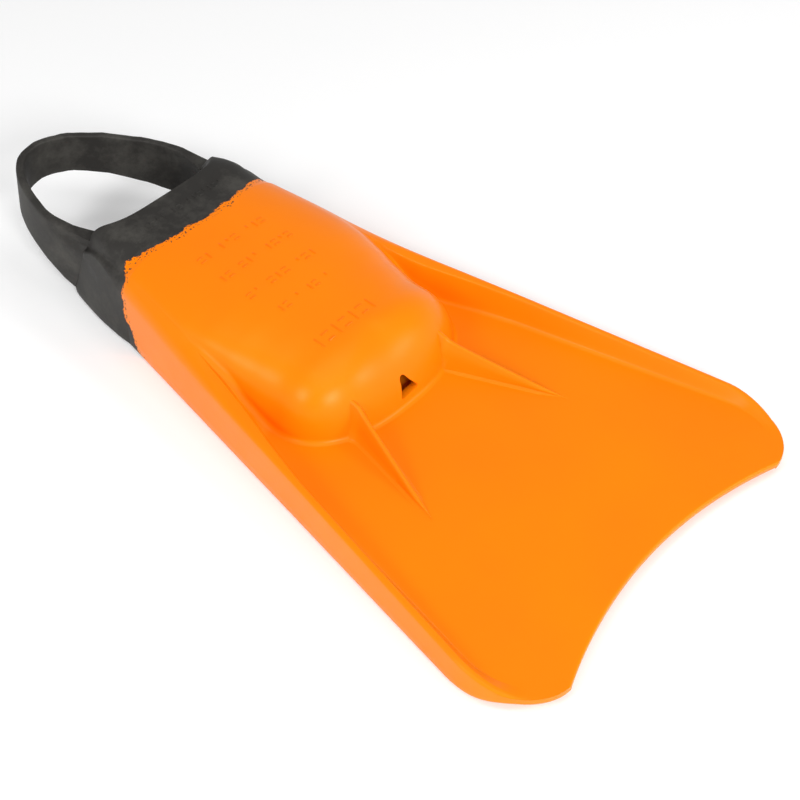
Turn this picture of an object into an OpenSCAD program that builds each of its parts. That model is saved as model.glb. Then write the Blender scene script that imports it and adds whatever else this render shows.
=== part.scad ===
// Swim fin of the short, stiff kind used for bodyboarding: an orange rubber
// foot pocket and blade with a black heel end and a black heel strap.
// +Y runs from the heel strap to the blade tips, +Z is up and X is across.
// The origin is on the ground under the middle of the fin. Millimetres.

/* [Overall] */
// Length from the back of the heel strap to the blade tips
fin_length = 426; // [420:1:432]
// Half width across the side edges at the black and orange seam
seam_half_width = 60.6; // [59.5:0.1:61.5]
// Half width across the side edges where the blade's corners begin
blade_half_width = 114.6; // [112:0.1:117]

/* [Side rails] */
// Height of the side edges along the foot pocket
rail_height_pocket = 32; // [30:0.5:33]
// Height of the side rails beside the toes
rail_height_toe = 27.5; // [26:0.5:29]
// Height of the side rails where the blade's corners begin
rail_height_tip = 15.6; // [14:0.1:17]
// Width of a rail at its foot
rail_width = 8.5; // [7.5:0.1:9.5]
// Inward lean of a rail's outer face between the ground and the crest
rail_lean = 1.5; // [1:0.1:2]

/* [Blade web] */
// Height of the underside of the web above the ground
web_bottom = 5; // [4.5:0.1:5.5]
// Thickness of the web
web_thickness = 4; // [3.5:0.1:4.5]
// Depth of the hollow trailing edge at the middle
trailing_depth = 15.8; // [13:0.1:18]
// Half distance between the two blade tips
tip_half_distance = 85.5; // [82:0.1:88]
// Length of a rounded blade corner along the fin
corner_length = 40.8; // [38:0.1:43]

/* [Foot pocket] */
// Height of the instep edge at its middle
instep_height = 55; // [53:0.5:57]
// Height of the top of the toes
toe_height = 46; // [44:0.5:48]
// Half width of the pocket at its open end
mouth_half_width = 47.2; // [46.8:0.1:47.2]
// Half width of the pocket at the toes
toe_half_width = 60; // [58:0.5:61]
// Thickness of the pocket's walls
wall = 4; // [3.5:0.1:4.5]
// Thickness of the sole
sole_thickness = 7; // [6:0.5:7.5]
// Width of the drain hole in the toe
drain_width = 12; // [10:0.5:13]

/* [Ribs] */
// Height of the top of a rib where it leaves the toe
rib_height = 27; // [25:0.5:29]
// Half distance between the rib crests at the toe
rib_root_x = 34; // [32:0.5:36]
// Half distance between the rib points on the blade
rib_tip_x = 54; // [52:0.5:56]

/* [Heel strap] */
// Thickness of the strap
strap_thickness = 4.5; // [4:0.1:4.7]
// Height of the middle of the strap's swing above the ground
strap_axis_z = 27; // [26.5:0.1:27.5]
// Radius of the round end of each strap arm
strap_end_radius = 22; // [21:0.5:22.5]
// Height of the strap's top edge behind the heel
strap_top_heel = 65; // [62:0.5:67]
// Height of the strap's lower edge behind the heel
strap_bottom_heel = 38; // [36:0.5:40]

/* [Clearances] */
// Gap between faces that move past each other
running_gap = 0.3; // [0.3:0.05:0.4]

/* [Hidden] */

orange = "#ff8a1a";
charcoal = "#3b3836";

// Stations along the fin, from the heel strap forwards.
strap_back_y = -fin_length / 2;
blade_tip_y = fin_length / 2;
strap_axis_y = strap_back_y + 57;
mouth_y = strap_axis_y;
widening_y = strap_axis_y + strap_end_radius + 2;
instep_y = strap_back_y + 76;
panel_peak_y = strap_back_y + 94;
seam_y = strap_back_y + 112;
shoulder_end_y = strap_back_y + 197;
groove_y = strap_back_y + 219;
toe_bend_y = strap_back_y + 229;
toe_front_y = strap_back_y + 264;
rib_tip_y = strap_back_y + 320;
blade_axis_y = strap_back_y + 325;
corner_y = blade_tip_y - corner_length;

web_top = web_bottom + web_thickness;
blade_axis_z = web_bottom + web_thickness / 2;
web_knuckle_radius = web_thickness / 2;
rail_knuckle_radius = 14;
far = 300;

// Side line of the fin on the ground.
side_slope = (blade_half_width - seam_half_width) / (corner_y - seam_y);
function side_x(y) = seam_half_width + side_slope * (y - seam_y);

function mix(a, b, t) = a + (b - a) * t;
function fraction(v, low, high) = min(1, max(0, (v - low) / (high - low)));
function reversed(list) = [for (i = [len(list) - 1:-1:0]) list[i]];
function steps(low, high, count) = [for (i = [0:count]) mix(low, high, i / count)];

// A closed solid through rings that all have the same number of points.
module loft(rings) {
    n = len(rings[0]);
    last = (len(rings) - 1) * n;
    points = [for (ring = rings) each ring];
    sides = [for (i = [0:len(rings) - 2], j = [0:n - 1])
        let (a = i * n + j, b = i * n + (j + 1) % n)
            each [[a, b, b + n], [a, b + n, a + n]]];
    caps = [[for (j = [n - 1:-1:0]) j], [for (j = [0:n - 1]) last + j]];
    polyhedron(points, concat(sides, caps), convexity = 8);
}

module both_sides_of(side) {
    if (side > 0) children();
    else mirror([1, 0, 0]) children();
}

// A round bar along X, centred on x = 0.
module cross_bar(y, z, radius, length, facets = 96) {
    translate([-length / 2, y, z])
        rotate([0, 90, 0])
            cylinder(h = length, r = radius, $fn = facets);
}

// ---- Side edges and rails ------------------------------------------------

function rail_top(y) = y < shoulder_end_y
    ? mix(rail_height_pocket, rail_height_toe, fraction(y, shoulder_end_y - 25, shoulder_end_y))
    : mix(rail_height_toe, rail_height_tip, fraction(y, shoulder_end_y, corner_y));

// The outline of one blade corner, a quarter ellipse that starts at the side line.
corner_width = blade_half_width - tip_half_distance;
function corner_point(a) = [tip_half_distance + corner_width * cos(a), corner_y + corner_length * sin(a)];
function corner_inward(a) = let (n = [corner_length * cos(a), corner_width * sin(a)]) -n / norm(n);
side_inward = -[1, -side_slope] / norm([1, side_slope]);

// Stations of the edge: the point on the outline, the way inwards, the crest's and the foot's heights.
function side_station(y) = [[side_x(y), y], side_inward, rail_top(y), 0];
corner_end_angle = 48;
function corner_station(a) = [corner_point(a), corner_inward(a),
    mix(rail_height_tip, web_top + 0.4, pow(fraction(a, 0, corner_end_angle), 0.8)),
    mix(0, web_bottom - 0.5, fraction(a, corner_end_angle / 2, corner_end_angle))];

function inset(station, d) = station[0] + d * station[1];

// Section of the rail at a station: the crest is narrow and rounded.
function rail_ring(s) = let (h = s[2], foot = s[3], crest = max(0.2, (h - web_top) / 8))
    [for (p = [[0.8, foot], [0, foot + 0.8], [rail_lean, h - min(2, crest)], [rail_lean + 1.2, h],
        [rail_lean + 2.6, h], [rail_lean + 3.8, h - min(2, crest)], [rail_width, web_top],
        [rail_width, foot]])
        [inset(s, p[0])[0], inset(s, p[0])[1], p[1]]];

module rail(stations) {
    loft([for (s = reversed(stations)) rail_ring(s)]);
}

module side_rail(side) {
    stations = [for (y = concat([seam_y], steps(shoulder_end_y - 25, shoulder_end_y, 2), [blade_axis_y]))
        side_station(y)];
    color(orange)
        both_sides_of(side)
            difference() {
                rail(stations);
                cross_bar(blade_axis_y, blade_axis_z, rail_knuckle_radius + running_gap, far);
                translate([0, seam_y - far, -1])
                    cube([far, far, far]);
                translate([0, blade_axis_y, -1])
                    cube([far, far, far]);
            }
}

module blade_rail(side) {
    stations = concat([side_station(blade_axis_y - 20), side_station(blade_axis_y + 20)],
        [for (a = steps(0, corner_end_angle, 8)) corner_station(a)]);
    color(orange)
        both_sides_of(side)
            intersection() {
                rail(stations);
                union() {
                    cross_bar(blade_axis_y, blade_axis_z, rail_knuckle_radius, far);
                    translate([0, blade_axis_y, -far / 2])
                        cube([far, far, far]);
                }
            }
}

module side_rail_left() { side_rail(-1); }
module side_rail_right() { side_rail(1); }
module blade_rail_left() { blade_rail(-1); }
module blade_rail_right() { blade_rail(1); }

// ---- Foot pocket surface -------------------------------------------------

// Half width, height and squareness of the pocket's arch at a station. The mouth keeps one
// width beside the round ends of the strap, which swing past it.
function pocket_half_width(y) = y < groove_y - 10
    ? mix(mouth_half_width, toe_half_width, fraction(y, widening_y, groove_y - 10))
    : y <= toe_bend_y ? toe_half_width
    : toe_half_width * sqrt(max(0, 1 - pow((y - toe_bend_y) / (toe_front_y - toe_bend_y), 2)));
function pocket_height(y) = y < toe_bend_y
    ? mix(instep_height, toe_height, fraction(y, instep_y, toe_bend_y))
    : web_top + 4 + (toe_height - web_top - 4)
        * sqrt(max(0, 1 - pow((y - toe_bend_y) / (toe_front_y - toe_bend_y), 2)));
function squareness(y) = mix(7, 3.6, fraction(y, instep_y, toe_bend_y));

arch_points = 20;
function arch(y, half_width, height, foot) = let (e = 2 / squareness(y))
    [for (i = [0:arch_points]) let (a = 180 * i / arch_points, c = cos(a))
        [sign(c) * half_width * pow(abs(c), e), y, foot + (height - foot) * pow(max(0, sin(a)), e)]];

// Slanted front wall: the inner surface stays a wall's thickness behind the outer one.
function pocket_arch(y, foot) = arch(y, pocket_half_width(y), pocket_height(y), foot);
function pocket_inner_y(y) = toe_bend_y
    + (y - toe_bend_y) * (toe_front_y - toe_bend_y - wall - 1.5) / (toe_front_y - toe_bend_y);
function pocket_inner_arch(y, foot) = let (inner_y = y > toe_bend_y ? pocket_inner_y(y) : y)
    arch(inner_y, max(1, pocket_half_width(y) * (toe_half_width - wall) / toe_half_width),
        max(foot + 1, pocket_height(y) - wall), foot);

upper_front_y = groove_y - 10;
upper_stations = [seam_y, (seam_y + upper_front_y) / 2, upper_front_y];
heel_stations = [mouth_y, instep_y, widening_y, seam_y];
toe_stations = concat([upper_front_y, toe_bend_y],
    [for (a = [15:15:75]) toe_bend_y + (toe_front_y - toe_bend_y) * sin(a)],
    [toe_bend_y + (toe_front_y - toe_bend_y) * sin(86)]);

// The pocket's outer form between two stations: above the sole, and down through it.
module pocket_solid(stations) {
    loft([for (y = stations) pocket_arch(y, sole_thickness)]);
}

module pocket_block(stations) {
    loft([for (y = stations) concat([[pocket_half_width(y), y, -1]], pocket_arch(y, sole_thickness),
        [[-pocket_half_width(y), y, -1]])]);
}

// The pocket's wall between two stations, open at both ends.
module shell(stations) {
    n = arch_points + 1;
    last = (len(stations) - 1) * 2 * n;
    points = [for (y = stations)
        each concat(pocket_arch(y, sole_thickness), reversed(pocket_inner_arch(y, sole_thickness)))];
    sides = [for (i = [0:len(stations) - 2], j = [0:2 * n - 1])
        let (a = i * 2 * n + j, b = i * 2 * n + (j + 1) % (2 * n))
            each [[a, b, b + 2 * n], [a, b + 2 * n, a + 2 * n]]];
    back = [for (j = [0:n - 2]) [j, 2 * n - 1 - j, 2 * n - 2 - j, j + 1]];
    front = [for (j = [0:n - 2]) [last + j + 1, last + 2 * n - 2 - j, last + 2 * n - 1 - j, last + j]];
    polyhedron(points, concat(sides, back, front), convexity = 8);
}

module pocket_upper() {
    color(orange)
        shell(upper_stations);
}

// Drain hole: a rounded triangle that points up, through the front of the toe.
module drain_outline() {
    corner = 2;
    half = drain_width / 2 - corner;
    hull() {
        for (p = [[-half, corner], [half, corner], [0, drain_width * 0.75 - corner]])
            translate(p)
                circle(r = corner, $fn = 24);
    }
}

module toe_cap() {
    color(orange)
        difference() {
            pocket_solid(toe_stations);
            loft([for (y = concat([upper_front_y - 5], toe_stations)) pocket_inner_arch(y, sole_thickness - 1)]);
            translate([0, toe_front_y + 20, web_top + 2.5])
                rotate([90, 0, 0])
                    linear_extrude(height = 45)
                        drain_outline();
        }
}

// ---- Sole ----------------------------------------------------------------

function plan(stations) = concat([for (y = stations) [pocket_half_width(y), y]],
    reversed([for (y = stations) [-pocket_half_width(y), y]]));

module pocket_sole() {
    color(orange)
        linear_extrude(height = sole_thickness)
            polygon(plan(concat([seam_y], toe_stations)));
}

module heel_sole() {
    color(charcoal)
        linear_extrude(height = sole_thickness)
            polygon(plan([mouth_y, widening_y, seam_y]));
}

// ---- Walls between the pocket and the side rails --------------------------

function wall_ring(y) = let (s = side_station(y), top = rail_top(y),
    inner = pocket_half_width(y) - 12,
    foot = inset(s, rail_width),
    rise = mix(top + 3, web_top + 0.3, fraction(y, shoulder_end_y, groove_y)),
    crest = max(0.2, (top - web_top) / 8), edge = inset(s, rail_lean + 3.8),
    edge_x = edge[0] + (y - edge[1]) * side_slope, foot_x = foot[0] + (y - foot[1]) * side_slope,
    crest_z = mix(top - min(2, crest), web_top + 0.3, fraction(y, shoulder_end_y, groove_y)),
    crest_x = mix(edge_x, foot_x - 0.5, fraction(y, shoulder_end_y, groove_y)))
    [[foot_x, y, 0], [foot_x, y, web_top], [crest_x, y, crest_z], [inner, y, rise], [inner, y, 0]];

module side_wall(side) {
    color(orange)
        difference() {
            both_sides_of(side)
                loft([for (y = [seam_y, shoulder_end_y - 25, shoulder_end_y - 12,
                    shoulder_end_y, (shoulder_end_y + groove_y) / 2, groove_y]) wall_ring(y)]);
            pocket_block(concat([seam_y - 1, seam_y, upper_stations[1]], toe_stations));
        }
}

module side_wall_left() { side_wall(-1); }
module side_wall_right() { side_wall(1); }

// ---- Web of the blade ----------------------------------------------------

function web_edge(y) = let (p = inset(side_station(y), rail_width)) p[0] + (y - p[1]) * side_slope;

module root_web() {
    near_y = blade_axis_y - rail_knuckle_radius - 0.5;
    side = [[web_edge(groove_y), groove_y], [web_edge(near_y), near_y],
        [web_edge(near_y) - running_gap - 0.1, near_y],
        [web_edge(blade_axis_y) - running_gap - 0.1, blade_axis_y]];
    color(orange)
        difference() {
            translate([0, 0, web_bottom])
                linear_extrude(height = web_thickness)
                    polygon(concat(side, reversed([for (p = side) [-p[0], p[1]]])));
            translate([0, 0, -1])
                linear_extrude(height = web_top + 2)
                    polygon(plan(concat([seam_y], toe_stations)));
            cross_bar(blade_axis_y, blade_axis_z, web_knuckle_radius + running_gap, far);
        }
}

trailing_radius = (pow(tip_half_distance, 2) + pow(trailing_depth, 2)) / (2 * trailing_depth);
function trailing_y(x) = blade_tip_y - trailing_depth + trailing_radius
    - sqrt(pow(trailing_radius, 2) - x * x);

module blade_web() {
    rail_end = corner_station(corner_end_angle);
    side = concat([[web_edge(blade_axis_y), blade_axis_y]],
        [for (a = steps(0, corner_end_angle, 8)) inset(corner_station(a), rail_width)],
        [rail_end[0]],
        [for (a = steps(corner_end_angle + 7, 90, 5)) corner_point(a)]);
    trailing = [for (x = steps(tip_half_distance - 6, -tip_half_distance + 6, 32)) [x, trailing_y(x)]];
    color(orange) {
        translate([0, 0, web_bottom])
            linear_extrude(height = web_thickness)
                polygon(concat(side, trailing, reversed([for (p = side) [-p[0], p[1]]])));
        cross_bar(blade_axis_y, blade_axis_z, web_knuckle_radius, 2 * web_edge(blade_axis_y) - 2);
    }
}

// ---- Ribs ----------------------------------------------------------------

// A long wedge with its flatter face towards the middle of the fin.
module rib(side) {
    back_y = toe_front_y - 22;
    back = [[rib_root_x - 6, back_y, web_top], [rib_root_x + 7, back_y, web_top],
        [rib_root_x + 3, back_y, rib_height], [rib_root_x + 0.5, back_y, rib_height]];
    middle_y = toe_front_y - 9;
    middle = [[rib_root_x - 3, middle_y, web_top], [rib_root_x + 6.5, middle_y, web_top],
        [rib_root_x + 2.6, middle_y, rib_height], [rib_root_x + 0.6, middle_y, rib_height]];
    front = [for (p = [[-0.7, 0], [0.7, 0], [0.3, 0.4], [-0.3, 0.4]])
        [rib_tip_x + p[0], rib_tip_y, web_top + p[1]]];
    color(orange)
        difference() {
            both_sides_of(side)
                loft([back, middle, front]);
            pocket_block(toe_stations);
        }
}

module rib_left() { rib(-1); }
module rib_right() { rib(1); }

// ---- Black heel end --------------------------------------------------------

// Instep edge: hollowed across the top and slanted down each side to the sole.
module instep_band() {
    hollow_radius = 128;
    color(charcoal)
        difference() {
            shell(heel_stations);
            translate([0, instep_y + 8 - hollow_radius, 44])
                cylinder(h = 40, r = hollow_radius, $fn = 180);
            translate([-far / 2, 0, 0])
                rotate([90, 0, 90])
                    linear_extrude(height = far)
                        polygon([[mouth_y - 1, sole_thickness + 2], [instep_y, 44.5], [instep_y, 90],
                            [mouth_y - 1, 90]]);
        }
}

function panel_top(y) = y < panel_peak_y
    ? mix(38, 44, fraction(y, mouth_y, panel_peak_y))
    : mix(44, rail_height_pocket, fraction(y, panel_peak_y, seam_y));
function panel_ring(y) = let (w = side_x(y), top = panel_top(y), inner = pocket_half_width(y) - 8)
    [[w - 0.8, y, 0], [w, y, 0.8], [w - rail_lean, y, top - 6], [w - 3, y, top - 1.5],
        [w - 5, y, top], [inner, y, top], [inner, y, 0]];

module side_panel(side) {
    color(charcoal)
        difference() {
            both_sides_of(side)
                loft([for (y = [mouth_y + 2, panel_peak_y, seam_y]) panel_ring(y)]);
            pocket_block(concat([mouth_y - 10], heel_stations, [seam_y + 1]));
            cross_bar(strap_axis_y, strap_axis_z, strap_end_radius + running_gap, far);
        }
}

module side_panel_left() { side_panel(-1); }
module side_panel_right() { side_panel(1); }

// ---- Heel strap ------------------------------------------------------------

strap_inner_x = mouth_half_width + running_gap;
strap_x = strap_inner_x + strap_thickness / 2;
strap_reach = strap_axis_y - strap_back_y - strap_thickness / 2;
// How far behind its axis the strap's inside stays clear of the pocket as it swings.
strap_relief = 14;

// Middle line of the strap seen from above, from the right arm round the heel.
function strap_point(a) = [strap_x * sign(cos(a)) * pow(abs(cos(a)), 0.8),
    strap_axis_y - strap_reach * pow(max(0, sin(a)), 0.92)];
function strap_outward(a) = let (t = strap_point(a + 0.5) - strap_point(a - 0.5)) [-t[1], t[0]] / norm(t);
function strap_ring(a) = let (p = strap_point(a), n = strap_outward(a), back = pow(sin(a), 1.3),
    low = mix(strap_axis_z - strap_end_radius, strap_bottom_heel, back),
    high = mix(strap_axis_z + strap_end_radius, strap_top_heel, pow(sin(a), 0.9)),
    half = strap_thickness / 2)
    [for (q = [[-half, low + 1], [1 - half, low], [half - 1, low], [half, low + 1],
        [half, high - 1], [half - 1, high], [1 - half, high], [-half, high - 1]])
        [p[0] - q[0] * n[0], p[1] - q[0] * n[1], q[1]]];

module heel_strap() {
    color(charcoal)
        difference() {
            union() {
                loft([for (i = [0:40]) strap_ring(mix(2, 178, i / 40))]);
                for (side = [-1, 1])
                    translate([side * strap_x, 0, 0])
                        cross_bar(strap_axis_y, strap_axis_z, strap_end_radius, strap_thickness);
            }
            translate([-strap_inner_x, strap_axis_y - strap_relief, -1])
                cube([2 * strap_inner_x, far, far]);
        }
}

blade_web();
blade_rail_left();
blade_rail_right();
root_web();
side_rail_left();
side_rail_right();
side_wall_left();
side_wall_right();
rib_left();
rib_right();
toe_cap();
pocket_upper();
pocket_sole();
instep_band();
side_panel_left();
side_panel_right();
heel_sole();
heel_strap();
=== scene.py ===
import math

import bmesh
import bpy
import numpy as np
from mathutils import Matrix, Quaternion, Vector

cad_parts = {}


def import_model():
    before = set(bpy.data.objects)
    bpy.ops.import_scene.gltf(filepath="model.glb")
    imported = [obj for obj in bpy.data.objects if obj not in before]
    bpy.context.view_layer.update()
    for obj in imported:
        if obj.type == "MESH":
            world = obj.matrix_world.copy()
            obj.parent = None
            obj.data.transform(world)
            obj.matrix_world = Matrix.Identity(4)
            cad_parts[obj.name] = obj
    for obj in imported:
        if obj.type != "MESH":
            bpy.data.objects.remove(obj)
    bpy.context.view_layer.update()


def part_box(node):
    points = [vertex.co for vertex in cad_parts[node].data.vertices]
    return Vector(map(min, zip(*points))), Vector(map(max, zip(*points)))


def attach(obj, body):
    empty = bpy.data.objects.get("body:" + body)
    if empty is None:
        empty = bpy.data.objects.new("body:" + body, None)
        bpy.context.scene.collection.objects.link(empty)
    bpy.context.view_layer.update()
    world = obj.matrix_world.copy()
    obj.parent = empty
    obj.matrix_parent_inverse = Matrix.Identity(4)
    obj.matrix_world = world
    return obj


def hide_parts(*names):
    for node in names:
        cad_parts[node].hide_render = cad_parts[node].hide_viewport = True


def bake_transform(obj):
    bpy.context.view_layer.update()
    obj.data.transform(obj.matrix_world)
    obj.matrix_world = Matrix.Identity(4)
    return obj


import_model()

# Lengths below are in millimetres in the frame's axes. Meshes are made in metres.
MM = 1000.0


def low(node):
    return np.array(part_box(node)[0]) * MM


def high(node):
    return np.array(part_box(node)[1]) * MM


# ---- Driving dimensions --------------------------------------------------------------

SEAM_Y = low("pocket_sole")[1]
TOE_FRONT_Y = high("pocket_sole")[1]
TOE_BEND_Y = TOE_FRONT_Y - 39
TOE_HALF_WIDTH = high("pocket_sole")[0]
SOLE_TOP = high("pocket_sole")[2]
WEB_BOTTOM = low("root_web")[2]
WEB_TOP = high("root_web")[2]
MOUTH_Y = low("heel_sole")[1]
HEEL_BACK_Y = low("heel_strap")[1]
TIP_Y = high("blade_web")[1]
TIP_HALF_DISTANCE = 85.5
TRAILING_DEPTH = 15.8
SEAM_HALF_WIDTH = 60.6
SIDE_SLOPE = 0.19766
CORNER_START_Y = TIP_Y - 48
MOUTH_HALF_WIDTH = 47.2
WIDENING_Y = MOUTH_Y + 24
WALL = 4.0
INSTEP_TOP = 55.0
TOE_TOP = high("toe_cap")[2] - 2.2
INSTEP_Y = MOUTH_Y + 19
RAIL_TIP = 15.6
RAIL_FACE = 4.5


# ---- Small helpers -------------------------------------------------------------------


def mix(a, b, t):
    return a + (b - a) * t


def smooth(v, start, end):
    t = min(1.0, max(0.0, (v - start) / (end - start)))
    return t * t * (3 - 2 * t)


def turn(degrees):
    a = math.radians(degrees)
    return math.cos(a), math.sin(a)


def bezier(p0, p1, p2, p3, t):
    s = 1 - t
    return s**3 * p0 + 3 * s * s * t * p1 + 3 * s * t * t * p2 + t**3 * p3


def smooth_line(*knots):
    """A smooth line through (place, value) knots with no bumps between them, as a function."""
    places, values = np.array(knots, float).T
    slopes = np.diff(values) / np.diff(places)
    tangents = [slopes[0]]
    for before, after in zip(slopes[:-1], slopes[1:]):
        tangents.append(2 * before * after / (before + after) if before * after > 0 else 0.0)
    tangents.append(slopes[-1])

    def line(at):
        i = min(max(int(np.searchsorted(places, at)) - 1, 0), len(slopes) - 1)
        step = places[i + 1] - places[i]
        t = min(1.0, max(0.0, (at - places[i]) / step))
        s = 1 - t
        return (
            (1 + 2 * t) * s * s * values[i]
            + t * s * s * step * tangents[i]
            + t * t * (3 - 2 * t) * values[i + 1]
            - t * t * s * step * tangents[i + 1]
        )

    return line


SHARP_DEGREES = 38
WELD_DISTANCE, EMPTY_DISTANCE = 0.004, 0.002


class Surface:
    """Grids of points joined into one closed mesh."""

    def __init__(self):
        self.points = []
        self.faces = []

    def add(self, grid):
        """Adds a rows x columns x 3 array of points and returns its table of indices."""
        grid = np.asarray(grid, float)
        first = len(self.points)
        self.points.extend(grid.reshape(-1, 3))
        return first + np.arange(grid.shape[0] * grid.shape[1]).reshape(grid.shape[:2])

    def strip(self, a, b):
        for i in range(len(a) - 1):
            self.faces.append((a[i], a[i + 1], b[i + 1], b[i]))

    def sheet(self, table):
        for a, b in zip(table[:-1], table[1:]):
            self.strip(a, b)

    def build(self, name, sharp=SHARP_DEGREES):
        mesh = bpy.data.meshes.new(name)
        mesh.from_pydata([tuple(p / MM) for p in self.points], [], [tuple(map(int, f)) for f in self.faces])
        obj = bpy.data.objects.new(name, mesh)
        bpy.context.scene.collection.objects.link(obj)
        clean(mesh, sharp)
        return obj


def clean(mesh, sharp):
    """Welds seams, drops empty faces, turns every face outwards and shades the mesh smooth."""
    bm = bmesh.new()
    bm.from_mesh(mesh)
    bmesh.ops.remove_doubles(bm, verts=bm.verts, dist=WELD_DISTANCE / MM)
    bmesh.ops.dissolve_degenerate(bm, edges=bm.edges, dist=EMPTY_DISTANCE / MM)
    bmesh.ops.recalc_face_normals(bm, faces=bm.faces)
    bm.to_mesh(mesh)
    bm.free()
    mesh.polygons.foreach_set("use_smooth", [True] * len(mesh.polygons))
    mesh.set_sharp_from_angle(angle=math.radians(sharp))
    mesh.update()


def both_halves(half):
    """A grid of the half from the side (+X) to the middle, carried on to the other side."""
    half = np.asarray(half, float)
    return np.concatenate([half, (half * [-1, 1, 1])[:, -2::-1]], axis=1)


# ---- Outline and heights shared by the pieces ------------------------------------------


def side_x(y):
    return SEAM_HALF_WIDTH + SIDE_SLOPE * (y - SEAM_Y)


SIDE_STRETCH = math.hypot(1, SIDE_SLOPE)
SIDE_INWARD = np.array([-1, SIDE_SLOPE]) / SIDE_STRETCH
TRAILING_INWARD = np.array([-1, -2 * TRAILING_DEPTH / TIP_HALF_DISTANCE])
TRAILING_INWARD /= np.linalg.norm(TRAILING_INWARD)
CORNER = (
    np.array([side_x(CORNER_START_Y), CORNER_START_Y]),
    np.array([side_x(CORNER_START_Y + 25.5), CORNER_START_Y + 25.5]),
    np.array([TIP_HALF_DISTANCE + 16.5, TIP_Y]),
    np.array([TIP_HALF_DISTANCE, TIP_Y]),
)


def corner_point(t):
    return bezier(*CORNER, t)


def corner_inward(t):
    ahead = corner_point(min(1, t + 0.001)) - corner_point(t - 0.001)
    return np.array([-ahead[1], ahead[0]]) / np.linalg.norm(ahead)


def pocket_half_width(y):
    wide = min(1.0, max(0.0, (y - WIDENING_Y) / (-4 - WIDENING_Y)))
    return mix(MOUTH_HALF_WIDTH, TOE_HALF_WIDTH, wide)


def pocket_top(y):
    return mix(INSTEP_TOP, TOE_TOP, min(1.0, max(0.0, (y - INSTEP_Y) / (TOE_BEND_Y - INSTEP_Y))))


# Each line gives one measure of the section beside the pocket or blade, as (y, value) knots.
SHOULDER_TOP = smooth_line(
    (-101, 44.6), (-75, 40.4), (-57, 36.6), (-42, 33.1), (-25, 29.7), (-8, 27.2), (16, 25.4),
    (CORNER_START_Y, RAIL_TIP),
)
SHOULDER_RADIUS = smooth_line(
    (-101, 12), (-57, 10), (-42, 8), (-25, 5.5), (-8, 3.4), (16, 2.4), (60, 1.6), (165, 1.6)
)
SLOPE_ABOVE = smooth_line((-101, 45), (-57, 42), (-42, 25), (-25, 7), (-8, 1), (5, 0), (165, 0))
WALL_SLOPE = smooth_line((-101, 45), (-75, 46), (-57, 50), (-42, 57), (-25, 66), (-8, 76), (10, 80))
CREST_INSET = smooth_line((-101, 9), (-25, 9.2), (-8, 9), (10, 7.6), (30, 5.6), (60, 4.1), (165, 4.0))
GROOVE_SHARE = smooth_line((-101, 0), (-44, 0), (-25, 0.10), (-8, 0.56), (10, 1), (165, 1))
RING_X = smooth_line((-101, 54), (-75, 57.5), (-57, 60.3), (-42, 62.3), (-25, 63.4), (-8, 63.4), (10, 63.0))
DOME_SQUARE = smooth_line((-101, 0.66), (-57, 0.66), (-25, 0.70), (-8, 0.73), (10, 0.74))
DOME_FILLET = smooth_line((-101, 3), (-42, 6), (-25, 5), (-8, 3.4), (10, 3))


# ---- Section of the side: foot, face, shoulder or crest, groove ------------------------

FACE_STEPS, ARC_STEPS, FLAT_STEPS = 3, 8, 4
INNER_ARC_STEPS, INNER_FACE_STEPS, FILLET_STEPS, VALLEY_STEPS = 4, 4, 5, 6
TAIL_STEPS = INNER_ARC_STEPS + INNER_FACE_STEPS + FILLET_STEPS
FOOT_COLUMNS = 3
EDGE_COLUMNS = FOOT_COLUMNS + FACE_STEPS + ARC_STEPS + FLAT_STEPS + TAIL_STEPS
LEAN = 1.5
SEAM_MARGIN = 0.3
CREST_RADIUS = 1.6
NO_LIMIT = 99.0


def outer_side(foot, crest, lean, radius, slope):
    """Insets and heights from the rounded foot up the outer face and round to a slope."""
    points = [(1, foot), (0.3, foot + 0.3), (0, foot + 1)]
    for i in range(FACE_STEPS):
        t = (i + 0.6) / FACE_STEPS * 0.97
        points.append((lean * t, mix(foot + 1, crest - radius, t)))
    for i in range(ARC_STEPS):
        c, s = turn(mix(2, 90 - slope, i / (ARC_STEPS - 1)))
        points.append((lean + radius * (1 - c), crest - radius * (1 - s)))
    return points


def rail_tail(crest, edge, foot, room):
    """Insets and heights from a rail's inner edge down its inner face to the web."""
    drop = max(0.02, crest - WEB_TOP)
    incline = math.atan2(drop, foot - edge)
    inner = min(1.2, (foot - edge) * 0.4, drop * 0.3)
    points = []
    for i in range(INNER_ARC_STEPS):
        a = incline * i / (INNER_ARC_STEPS - 1)
        points.append((edge + inner * math.sin(a), crest - inner * (1 - math.cos(a))))
    inset, height = points[-1]
    meet = inset + (height - WEB_TOP) / math.tan(incline)
    fillet = max(0.05, min(2.8, drop / 3, (room - meet) / math.tan(incline / 2)))
    foot_end = meet + fillet * math.tan(incline / 2)
    begin = (foot_end - fillet * math.sin(incline), WEB_TOP + fillet * (1 - math.cos(incline)))
    for i in range(INNER_FACE_STEPS):
        t = (i + 1) / (INNER_FACE_STEPS + 1)
        points.append((mix(inset, begin[0], t), mix(height, begin[1], t)))
    for i in range(FILLET_STEPS):
        a = incline * (1 - i / (FILLET_STEPS - 1))
        points.append((foot_end - fillet * math.sin(a), WEB_TOP + fillet * (1 - math.cos(a))))
    return points


def rail_section(crest, foot, lean):
    """A thin raised rail with a rounded crest and a steeper inner face, down to the web."""
    radius = min(CREST_RADIUS, (crest - foot) / 4)
    points = outer_side(foot, crest, lean, radius, 0)
    start, edge = points[-1][0], lean + radius + 0.9
    points += [(mix(start, edge, (i + 0.5) / FLAT_STEPS), crest) for i in range(FLAT_STEPS)]
    points = np.array(points + rail_tail(crest, edge, edge + RAIL_FACE, NO_LIMIT))
    above = FOOT_COLUMNS + FACE_STEPS
    points[above:, 1] = np.maximum(points[above:, 1], WEB_TOP)
    return points


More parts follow.
